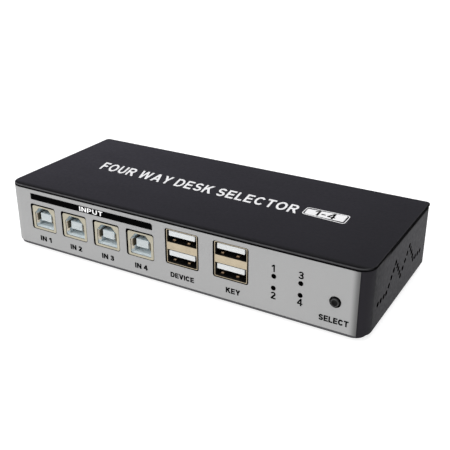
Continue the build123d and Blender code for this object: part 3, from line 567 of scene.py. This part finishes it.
SLOT = {
    "lid_paint": lid_paint(),
    "frame_paint": frame_paint(),
    "panel_print": panel_print(),
    "port_shell": port_shell(
        "port_shell", (0.45, 0.382, 0.274), shade_inside=True,
        faces=((6.1 - 6.76, 6.1 + 6.76, 11.15, 25.25), (27.1 - 6.76, 27.1 + 6.76, 11.15, 25.25)),
    ),
    "grey_plastic": grey_plastic(),
    "board_green": circuit_green(),
    "brass_turned": turned_brass(),
    "foot_rubber": material(
        "foot_rubber", (0.012, 0.012, 0.012), 0.78, spec=0.35, var=0.15, vscale=300,
        rvar=0.08, rscale=900, bumps=((1500, 0.5, 0.00008), (5200, 0.3, 0.00002)), dirt=0.3,
    ),
    "zinc_steel": material(
        "zinc_steel", (0.60, 0.61, 0.62), 0.36, metal=1.0, var=0.10, vscale=420,
        rvar=0.09, rscale=1300, bumps=((2600, 0.2, 0.00002),), tint=(0.62, 0.62, 0.56),
    ),
    "black_screw": material(
        "black_screw", (0.030, 0.030, 0.032), 0.38, metal=0.7, var=0.2, vscale=500,
        rvar=0.08, rscale=1500, bumps=((2600, 0.25, 0.00002),), dirt=0.25,
    ),
    "gold_contact": material(
        "gold_contact", (0.80, 0.58, 0.24), 0.24, metal=1.0, var=0.08, vscale=700,
        rvar=0.07, rscale=1800, bumps=((3000, 0.12, 0.00001),), stretch=(1, 6, 1),
    ),
    "copper_spring": material(
        "copper_spring", (0.22, 0.155, 0.095), 0.42, metal=0.9, var=0.14, vscale=800,
        rvar=0.08, rscale=1800, bumps=((3000, 0.15, 0.00001),), tint=(0.25, 0.18, 0.115), dirt=0.35,
    ),
    "white_plastic": material(
        "white_plastic", (0.60, 0.615, 0.615), 0.42, var=0.03, vscale=260,
        rvar=0.05, rscale=1200, bumps=((2600, 0.15, 0.00002),),
    ),
    "black_plastic": material(
        "black_plastic", (0.014, 0.014, 0.015), 0.46, spec=0.4, var=0.14, vscale=240,
        rvar=0.07, rscale=1100, bumps=((2400, 0.3, 0.00003),),
    ),
    "button_plastic": button_plastic(),
    "lamp_lens": material(
        "lamp_lens", (0.010, 0.012, 0.010), 0.16, spec=0.5, var=0.2, vscale=900,
        rvar=0.04, rscale=1500, bumps=((1500, 0.12, 0.00002),),
    ),
    "tinned_wire": material(
        "tinned_wire", (0.68, 0.68, 0.66), 0.32, metal=1.0, var=0.10, vscale=700,
        rvar=0.09, rscale=1500, bumps=((2600, 0.2, 0.00002),), dirt=0.15,
    ),
    "chip_resin": material(
        "chip_resin", (0.020, 0.020, 0.022), 0.55, spec=0.4, var=0.12, vscale=420,
        rvar=0.07, rscale=1900, bumps=((4200, 0.5, 0.00003),),
    ),
    "pad_silicone": material(
        "pad_silicone", (0.30, 0.38, 0.47), 0.62, var=0.08, vscale=500,
        rvar=0.06, rscale=1500, bumps=((900, 0.3, 0.00005),),
    ),
    "sink_black": material(
        "sink_black", (0.016, 0.016, 0.018), 0.40, metal=0.6, var=0.15, vscale=320,
        rvar=0.07, rscale=1200, bumps=((2400, 0.25, 0.00002),), stretch=(1, 9, 1),
    ),
    "can_metal": material(
        "can_metal", (0.72, 0.72, 0.71), 0.26, metal=1.0, var=0.06, vscale=420,
        rvar=0.06, rscale=1400, bumps=((2400, 0.12, 0.00001),), stretch=(1, 1, 7),
    ),
    "ferrite": material(
        "ferrite", (0.055, 0.053, 0.055), 0.62, var=0.15, vscale=420,
        rvar=0.07, rscale=1600, bumps=((3200, 0.5, 0.00004),),
    ),
    "fuse_green": material(
        "fuse_green", (0.03, 0.20, 0.09), 0.45, var=0.12, vscale=600,
        rvar=0.06, rscale=1500, bumps=((2600, 0.25, 0.00002),),
    ),
    "ceramic_tan": material(
        "ceramic_tan", (0.42, 0.29, 0.17), 0.5, var=0.12, vscale=700,
        rvar=0.06, rscale=1500, bumps=((3000, 0.3, 0.00002),),
    ),
}

PRINT_BLACK = material(
    "ink_black", (0.0008, 0.0008, 0.0009), 0.60, spec=0.008, var=0.15, vscale=400,
    rvar=0.06, rscale=1500, bumps=((4500, 0.15, 0.00001),),
)
PRINT_WHITE = material(
    "ink_white", (0.95, 0.95, 0.95), 0.55, spec=0.3, var=0.02, vscale=400,
    rvar=0.05, rscale=1500, bumps=((4500, 0.15, 0.00001),),
)

record = frame["record"]
slots = record.get("materials", [])
slot_of = {}
for entry in slots:
    for n in entry.get("nodes", []) or entry.get("applies_to", []) or []:
        slot_of[n] = entry["slot"]
for name, obj in NODES.items():
    if not obj.material_slots:
        raise RuntimeError("node without a slot: " + name)
    for s in obj.material_slots:
        key = slot_of.get(name) or (s.material.name.split(".")[0] if s.material else "")
        if name.startswith("host_port_shell"):
            s.material = SHELL_SQUARE
        elif name.startswith("video_port_shell"):
            s.material = SHELL_REAR
        elif name == "switch_bracket":
            s.material = BRACKET
        elif name.startswith("stack_port_housing"):
            s.material = SHADE_LINER
        elif name == "host_port_springs":
            s.material = HOST_METAL
        elif name == "host_port_contacts":
            s.material = HOST_CONTACT
        else:
            s.material = SLOT[key]


# ----------------------------------------------------------------------------
# stage: pale floor, soft light
# ----------------------------------------------------------------------------
def area(name, location, target, size, power, size_y=None, colour=(1, 1, 1)):
    data = bpy.data.lights.new(name, "AREA")
    data.shape = "RECTANGLE"
    data.size = size
    data.size_y = size_y or size
    data.energy = power
    data.color = colour
    obj = bpy.data.objects.new(name, data)
    scene.collection.objects.link(obj)
    obj.location = location
    obj.rotation_euler = (Vector(location) - Vector(target)).to_track_quat("Z", "Y").to_euler()
    return obj


WORLD_FRONT = (0.20, 0.75)
WORLD_BACK = (0.50, 0.06, 1.15, 0.62)   # low, high, left, right

world = bpy.data.worlds.new("studio")
scene.world = world
world.use_nodes = True
wt = world.node_tree
wt.nodes.clear()
w_out = wt.nodes.new("ShaderNodeOutputWorld")
w_bg = wt.nodes.new("ShaderNodeBackground")
w_co = wt.nodes.new("ShaderNodeTexCoord")
w_sep = wt.nodes.new("ShaderNodeSeparateXYZ")


def w_range(value, a, b, lo, hi, smooth=False):
    n = wt.nodes.new("ShaderNodeMapRange")
    n.clamp = True
    n.interpolation_type = "SMOOTHSTEP" if smooth else "LINEAR"
    n.inputs["From Min"].default_value = a
    n.inputs["From Max"].default_value = b
    n.inputs["To Min"].default_value = lo
    n.inputs["To Max"].default_value = hi
    wt.links.new(value, n.inputs["Value"])
    return n.outputs["Result"]


def w_math(op, a, b):
    n = wt.nodes.new("ShaderNodeMath")
    n.operation = op
    for k, v in enumerate((a, b)):
        if isinstance(v, (int, float)):
            n.inputs[k].default_value = v
        else:
            wt.links.new(v, n.inputs[k])
    return n.outputs[0]


# bright overhead in front; behind the box a dim wall, brighter low down and to the left
wt.links.new(w_co.outputs["Generated"], w_sep.inputs[0])
behind = w_range(w_sep.outputs["Y"], -0.15, 0.35, 0.0, 1.0, True)
ahead = w_range(w_sep.outputs["Z"], 0.0, 0.9, WORLD_FRONT[0], WORLD_FRONT[1])
wall = w_math(
    "MULTIPLY",
    w_range(w_sep.outputs["Z"], 0.12, 0.58, WORLD_BACK[0], WORLD_BACK[1]),
    w_range(w_sep.outputs["X"], -0.65, 0.0, WORLD_BACK[2], WORLD_BACK[3]),
)
strength = w_math(
    "ADD",
    w_math("MULTIPLY", ahead, w_math("SUBTRACT", 1.0, behind)),
    w_math("MULTIPLY", wall, behind),
)
wt.links.new(strength, w_bg.inputs["Strength"])
w_tint = wt.nodes.new("ShaderNodeMix")
w_tint.data_type = "RGBA"
w_tint.inputs[6].default_value = (1.0, 1.0, 1.0, 1.0)
w_tint.inputs[7].default_value = (1.0, 0.97, 1.16, 1.0)
wt.links.new(behind, w_tint.inputs[0])
wt.links.new(w_tint.outputs[2], w_bg.inputs["Color"])
# the wall above the floor looks as pale as the floor
w_pale = wt.nodes.new("ShaderNodeBackground")
w_pale.inputs["Color"].default_value = (1.0, 1.0, 1.0, 1.0)
w_pale.inputs["Strength"].default_value = 1.0
w_seen = wt.nodes.new("ShaderNodeLightPath")
w_mix = wt.nodes.new("ShaderNodeMixShader")
wt.links.new(w_seen.outputs["Is Camera Ray"], w_mix.inputs[0])
wt.links.new(w_bg.outputs[0], w_mix.inputs[1])
wt.links.new(w_pale.outputs[0], w_mix.inputs[2])
wt.links.new(w_mix.outputs[0], w_out.inputs["Surface"])

area("key", (-0.55, -1.05, 0.75), (0, 0, 0.01), 1.3, 9.5, size_y=1.0)
area("top", (0.0, 0.0, 1.2), (0, 0, 0.01), 0.9, 5.0)
area("rear", (0.3, 1.15, 1.05), (0, 0, 0.01), 0.8, 3.0)

floor_mesh = bpy.data.meshes.new("floor")
R = 6.0
floor_mesh.from_pydata(
    [(-R, -R, 0), (R, -R, 0), (R, R, 0), (-R, R, 0)], [], [(0, 1, 2, 3)]
)
floor = bpy.data.objects.new("floor", floor_mesh)
scene.collection.objects.link(floor)
floor.location.z = -0.00005
ft = Tree("floor_pale")
ft.bsdf.inputs["Roughness"].default_value = 0.9
ft.bsdf.inputs["Specular IOR Level"].default_value = 0.1
ft.link(
    ft.mix(ft.remap(ft.noise(3.0, 2.0, 0.5), 0.3, 0.7, 0, 1), (0.50, 0.50, 0.50), (0.52, 0.52, 0.52)),
    ft.bsdf.inputs["Base Color"],
)
ft.bsdf.inputs["Emission Color"].default_value = (1, 1, 1, 1)
ft.bsdf.inputs["Emission Strength"].default_value = 0.80
floor_mesh.materials.append(ft.mat)

# ----------------------------------------------------------------------------
# printing: thin ink shapes on the film and the lid
# ----------------------------------------------------------------------------
INK = 0.03 * MM          # thickness of the screen print on the film
LID_INK = 0.012 * MM     # and of the pad print on the lid
Y_FILM = -33.5 * MM
Z_LID = 28.5 * MM


def bar(x0, y0, x1, y1):
    return [(x0, y0), (x1, y0), (x1, y1), (x0, y1)]


def arc(cx, cy, rx, ry, a0, a1, tx=0.20, ty=0.17, steps=18):
    """Pieces of a curved stroke: outer radii rx, ry, stroke widths tx, ty."""
    out = []
    for k in range(steps):
        a, b = (math.radians(a0 + (a1 - a0) * q / steps) for q in (k, k + 1))
        ca, sa, cb, sb = math.cos(a), math.sin(a), math.cos(b), math.sin(b)
        out.append(
            [
                (cx + rx * ca, cy + ry * sa),
                (cx + rx * cb, cy + ry * sb),
                (cx + (rx - tx) * cb, cy + (ry - ty) * sb),
                (cx + (rx - tx) * ca, cy + (ry - ty) * sa),
            ]
        )
    return out


# plain heavy block letters drawn for this object: width and pieces, capital height 1
GLYPHS = {
    "A": (0.98, [[(0, 0), (0.235, 0), (0.60, 1), (0.365, 1)], [(0.745, 0), (0.98, 0), (0.615, 1), (0.38, 1)],
                 bar(0.2, 0.22, 0.78, 0.385)]),
    "C": (0.92, arc(0.47, 0.5, 0.47, 0.5, 40, 320)),
    "D": (0.88, [bar(0, 0, 0.2, 1), bar(0.1, 0.84, 0.42, 1), bar(0.1, 0, 0.42, 0.16)]
          + arc(0.40, 0.5, 0.48, 0.5, -90, 90, 0.2, 0.16)),
    "E": (0.76, [bar(0, 0, 0.2, 1), bar(0.1, 0.83, 0.74, 1), bar(0.1, 0.42, 0.69, 0.585), bar(0.1, 0, 0.76, 0.17)]),
    "F": (0.70, [bar(0, 0, 0.2, 1), bar(0.1, 0.83, 0.70, 1), bar(0.1, 0.42, 0.62, 0.585)]),
    "I": (0.20, [bar(0, 0, 0.2, 1)]),
    "K": (0.92, [bar(0, 0, 0.2, 1),
                 [(0.15, 0.28), (0.15, 0.56), (0.60, 1), (0.88, 1)],
                 [(0.34, 0.52), (0.48, 0.70), (0.93, 0), (0.68, 0)]]),
    "L": (0.70, [bar(0, 0, 0.2, 1), bar(0.1, 0, 0.70, 0.17)]),
    "N": (0.84, [bar(0, 0, 0.19, 1), bar(0.65, 0, 0.84, 1), [(0, 1), (0.21, 1), (0.84, 0), (0.63, 0)]]),
    "O": (0.98, arc(0.49, 0.5, 0.49, 0.5, 0, 360, steps=36)),
    "P": (0.78, [bar(0, 0, 0.2, 1), bar(0.1, 0.835, 0.43, 1), bar(0.1, 0.36, 0.43, 0.525)]
          + arc(0.42, 0.68, 0.36, 0.32, -90, 90, 0.2, 0.165)),
    "R": (0.88, [bar(0, 0, 0.2, 1), bar(0.1, 0.835, 0.45, 1), bar(0.1, 0.40, 0.45, 0.565)]
          + arc(0.44, 0.70, 0.38, 0.30, -90, 90, 0.2, 0.165) + [[(0.34, 0.45), (0.56, 0.50), (0.89, 0), (0.65, 0)]]),
    "S": (0.80, arc(0.40, 0.7075, 0.38, 0.2925, 22, 270, 0.2, 0.165) + arc(0.40, 0.2925, 0.40, 0.2925, 90, -160, 0.2, 0.165)),
    "T": (0.80, [bar(0, 0.83, 0.80, 1), bar(0.30, 0, 0.50, 0.9)]),
    "U": (0.84, [bar(0, 0.37, 0.2, 1), bar(0.64, 0.37, 0.84, 1)] + arc(0.42, 0.38, 0.42, 0.38, 180, 360)),
    "V": (0.92, [[(0, 1), (0.22, 1), (0.565, 0), (0.355, 0)], [(0.92, 1), (0.70, 1), (0.355, 0), (0.565, 0)]]),
    "W": (1.30, [[(0, 1), (0.21, 1), (0.43, 0), (0.235, 0)], [(0.235, 0), (0.43, 0), (0.74, 1), (0.56, 1)],
                 [(0.56, 1), (0.74, 1), (1.065, 0), (0.87, 0)], [(0.87, 0), (1.065, 0), (1.30, 1), (1.09, 1)]]),
    "Y": (0.90, [bar(0.35, 0, 0.55, 0.45), [(0, 1), (0.24, 1), (0.55, 0.43), (0.35, 0.38)],
                 [(0.90, 1), (0.66, 1), (0.35, 0.43), (0.55, 0.38)]]),
    "1": (0.46, [bar(0.26, 0, 0.46, 1), [(0, 0.64), (0, 0.81), (0.27, 1.0), (0.40, 1.0), (0.40, 0.84), (0.27, 0.76)]]),
    "2": (0.72, arc(0.36, 0.70, 0.35, 0.30, 165, -42, 0.2, 0.165)
          + [[(0.45, 0.64), (0.62, 0.50), (0.26, 0.12), (0.0, 0.0), (0.0, 0.14)], bar(0, 0, 0.72, 0.17)]),
    "3": (0.70, arc(0.34, 0.735, 0.33, 0.265, 165, -90, 0.19, 0.16) + arc(0.34, 0.285, 0.36, 0.285, 90, -165, 0.19, 0.16)
          + [bar(0.2, 0.44, 0.38, 0.58)]),
    "4": (0.76, [bar(0.43, 0, 0.62, 1), bar(0, 0.22, 0.76, 0.38), [(0, 0.24), (0, 0.38), (0.43, 1), (0.55, 1), (0.55, 0.88), (0.19, 0.34)]]),
    "5": (0.70, [bar(0.12, 0.83, 0.66, 1), [(0.12, 1), (0.30, 1), (0.24, 0.50), (0.03, 0.47)]]
          + arc(0.34, 0.32, 0.36, 0.32, 135, -160, 0.19, 0.16)),
    "-": (0.40, [bar(0, 0.36, 0.40, 0.54)]),
}


def bolder(part, dx=0.034, dy=0.026):
    """A convex piece grown by that much on each side."""
    grown = [Vector((px + sx * dx, py + sy * dy)) for px, py in part for sx in (-1, 1) for sy in (-1, 1)]
    return [(grown[k].x, grown[k].y) for k in convex_hull_2d(grown)]


def glyph_mesh(text, weight=1.0, spacing=0.20):
    """The joined flat outline of a line of block letters, closed, from z 0 to 1."""
    pieces, x = [], 0.0
    for ch in text:
        if ch == " ":
            x += 0.36
            continue
        width, parts = GLYPHS[ch]
        pieces += [[(x + px, py) for px, py in bolder(part, 0.034 * weight, 0.026 * weight)] for part in parts]
        x += width + spacing
    coords, faces = [], []
    for part in pieces:
        area2 = sum(
            part[k][0] * part[(k + 1) % len(part)][1] - part[(k + 1) % len(part)][0] * part[k][1]
            for k in range(len(part))
        )
        if area2 < 0:
            part = part[::-1]
        faces.append(list(range(len(coords), len(coords) + len(part))))
        coords += [Vector(q) for q in part]
    verts, edges, tris, _, _, owners = delaunay_2d_cdt(coords, [], faces, 1, 1e-5)
    tris = [tri for tri, own in zip(tris, owners) if own]
    n = len(verts)
    points = [(v[0], v[1], 0.0) for v in verts] + [(v[0], v[1], 1.0) for v in verts]
    out, seen = [], {}
    for tri in tris:
        tri = list(tri)
        out.append(tuple(q + n for q in tri))
        out.append(tuple(tri[::-1]))
        for k in range(len(tri)):
            e = (tri[k], tri[(k + 1) % len(tri)])
            seen[e] = seen.get(e, 0) + 1
    for (a, b) in seen:
        if (b, a) not in seen:
            out.append((a, b, b + n, a + n))
    return points, out


def add_mesh(name, points, faces, mat, body="case"):
    mesh = bpy.data.meshes.new(name)
    mesh.from_pydata(points, [], faces)
    mesh.update()
    bm = bmesh.new()
    bm.from_mesh(mesh)
    bmesh.ops.remove_doubles(bm, verts=bm.verts, dist=1e-7)
    bmesh.ops.dissolve_degenerate(bm, edges=bm.edges, dist=1e-8)
    bmesh.ops.recalc_face_normals(bm, faces=bm.faces)
    bm.to_mesh(mesh)
    bm.free()
    obj = bpy.data.objects.new(name, mesh)
    scene.collection.objects.link(obj)
    mesh.materials.append(mat)
    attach(obj, body)
    return obj


def place_on(points, put):
    """Points with x, y scaled to 0..1 over their own box, z to 0..1, through put(u, v, w)."""
    xs, ys, zs = zip(*points)
    x0, x1, y0, y1, z0, z1 = min(xs), max(xs), min(ys), max(ys), min(zs), max(zs)
    return [
        put((x - x0) / (x1 - x0), (y - y0) / (y1 - y0), (z - z0) / (z1 - z0)) for x, y, z in points
    ]


def film_text(name, text, x0, x1, z0, z1, mat, lift=0.0, rear=False, weight=1.0):
    """Text on the front film between those limits in mm; on the rear it reads from behind."""
    points, faces = glyph_mesh(text, weight)

    def put(u, v, w):
        if rear:
            return (
                (x1 - u * (x1 - x0)) * MM, -Y_FILM + lift + w * INK, (z0 + v * (z1 - z0)) * MM
            )
        return ((x0 + u * (x1 - x0)) * MM, Y_FILM - lift - w * INK, (z0 + v * (z1 - z0)) * MM)

    return add_mesh(name, place_on(points, put), faces, mat)


def rounded(x0, z0, x1, z1, radii, steps=8):
    """Outline of a box; radii are for the corners at x0z0, x1z0, x1z1, x0z1."""
    out = []
    for (cx, cz, r, a0) in (
        (x0, z0, radii[0], 180), (x1, z0, radii[1], 270), (x1, z1, radii[2], 0), (x0, z1, radii[3], 90)
    ):
        if r <= 0:
            out.append((cx, cz))
            continue
        ox = cx + r if cx == x0 else cx - r
        oz = cz + r if cz == z0 else cz - r
        for k in range(steps + 1):
            a = math.radians(a0 + 90.0 * k / steps)
            out.append((ox + r * math.cos(a), oz + r * math.sin(a)))
    return out


def plate(name, outline, put, mat, inner=None):
    """A thin closed plate from an outline, or a ring when inner has as many points."""
    n = len(outline)
    points = [put(u, v, w) for w in (0, 1) for u, v in outline]
    if inner is None:
        faces = [tuple(range(n))[::-1], tuple(range(n, 2 * n))]
        faces += [(k, (k + 1) % n, n + (k + 1) % n, n + k) for k in range(n)]
    else:
        points += [put(u, v, w) for w in (0, 1) for u, v in inner]
        faces = []
        for k in range(n):
            j = (k + 1) % n
            faces.append((k, j, n + j, n + k))
            faces.append((2 * n + k, 2 * n + j, 3 * n + j, 3 * n + k))
            faces.append((n + k, n + j, 3 * n + j, 3 * n + k))
            faces.append((k, j, 2 * n + j, 2 * n + k))
    return add_mesh(name, points, faces, mat)


def on_film(u, v, w):
    return (u * MM, Y_FILM - w * INK, v * MM)


def on_rear(u, v, w):
    return (u * MM, -Y_FILM + w * INK, v * MM)


plate(
    "bar_print",
    rounded(-68.45, 23.0, -7.0, 25.75, (0.15, 0.25, 1.0, 0.15)),
    on_film,
    PRINT_BLACK,
)
film_text("bar_text_print", "INPUT", -42.4, -30.7, 23.42, 25.38, PRINT_WHITE, lift=INK * 0.9, weight=0.05)

for k, x in enumerate(SQ_X, 1):
    film_text("host_%d_print" % k, "IN %d" % k, x - 3.05, x + 3.05, 4.8, 7.05, PRINT_BLACK, weight=1.3)
film_text("devices_print", "DEVICE", 0.75, 11.35, 5.25, 7.4, PRINT_BLACK, weight=1.5)
film_text("keys_print", "KEY", 25.2, 31.25, 5.4, 7.65, PRINT_BLACK, weight=1.35)
film_text("select_print", "SELECT", 62.35, 73.3, 5.25, 7.6, PRINT_BLACK, weight=1.45)
film_text("lamp_1_print", "1", 43.75, 45.0, 19.1, 21.95, PRINT_BLACK, weight=0.35)
film_text("lamp_2_print", "2", 43.65, 45.6, 8.2, 11.1, PRINT_BLACK, weight=0.35)
film_text("lamp_3_print", "3", 54.05, 56.05, 19.1, 22.0, PRINT_BLACK, weight=0.35)
film_text("lamp_4_print", "4", 53.95, 56.05, 8.45, 11.35, PRINT_BLACK, weight=0.35)

# rear: numbers for the sockets
for k, x in enumerate((-60.0, -37.0, -14.0, 9.0), 1):
    film_text("rear_in_%d_print" % k, "IN %d" % k, x - 3.0, x + 3.0, 19.4, 21.6, PRINT_BLACK, rear=True)
film_text("rear_out_print", "OUT", 34 - 3.1, 34 + 3.1, 19.4, 21.6, PRINT_BLACK, rear=True)
film_text("rear_power_print", "DC 5V", 59 - 4.2, 59 + 4.2, 22.9, 25.0, PRINT_BLACK, rear=True)


def quad(bl, br, tr, tl, z0=Z_LID, ink=LID_INK):
    """Maps 0..1 squares onto a four-cornered patch of the lid, corners in mm."""

    def put(u, v, w):
        x = (bl[0] * (1 - u) + br[0] * u) * (1 - v) + (tl[0] * (1 - u) + tr[0] * u) * v
        y = (bl[1] * (1 - u) + br[1] * u) * (1 - v) + (tl[1] * (1 - u) + tr[1] * u) * v
        return (x * MM, y * MM, z0 + w * ink)

    return put


def lid_text(name, text, put, mat):
    points, faces = glyph_mesh(text, 0.1)
    return add_mesh(name, place_on(points, put), faces, mat)


TITLE = quad((-57.1, -2.2), (38.35, -3.25), (37.4, 4.3), (-59.15, 5.8), Z_LID - 0.002 * MM)
lid_text("title_print", "FOUR WAY DESK SELECTOR", TITLE, PRINT_WHITE)
BADGE = quad((40.2, -2.06), (58.13, -3.22), (57.8, 4.83), (39.86, 4.67), Z_LID - 0.002 * MM)
ring_out = rounded(0, 0, 1, 1, (0.10, 0.10, 0.10, 0.10))
ring_out = [(u, v) for u, v in rounded(0, 0, 17.9, 7.5, (1.4, 1.4, 1.4, 1.4))]
ring_in = [(u, v) for u, v in rounded(0.35, 0.45, 17.55, 7.05, (1.1, 1.1, 1.1, 1.1))]
plate(
    "badge_ring_print",
    [(u / 17.9, v / 7.5) for u, v in ring_out],
    BADGE,
    PRINT_WHITE,
    inner=[(u / 17.9, v / 7.5) for u, v in ring_in],
)
BADGE_IN = quad((41.2, -1.49), (57.03, -1.73), (56.73, 4.21), (40.69, 3.22), Z_LID - 0.002 * MM)
plate(
    "badge_plate_print",
    [(u / 16.0, v / 5.4) for u, v in rounded(0, 0, 16.0, 5.4, (0.7, 0.7, 0.7, 0.7))],
    BADGE_IN,
    PRINT_WHITE,
)
BADGE_TEXT = quad((44.48, -1.04), (53.3, -1.41), (53.03, 3.76), (44.32, 3.33), Z_LID + 0.004 * MM)
lid_text("badge_text_print", "1-4", BADGE_TEXT, PRINT_BLACK)
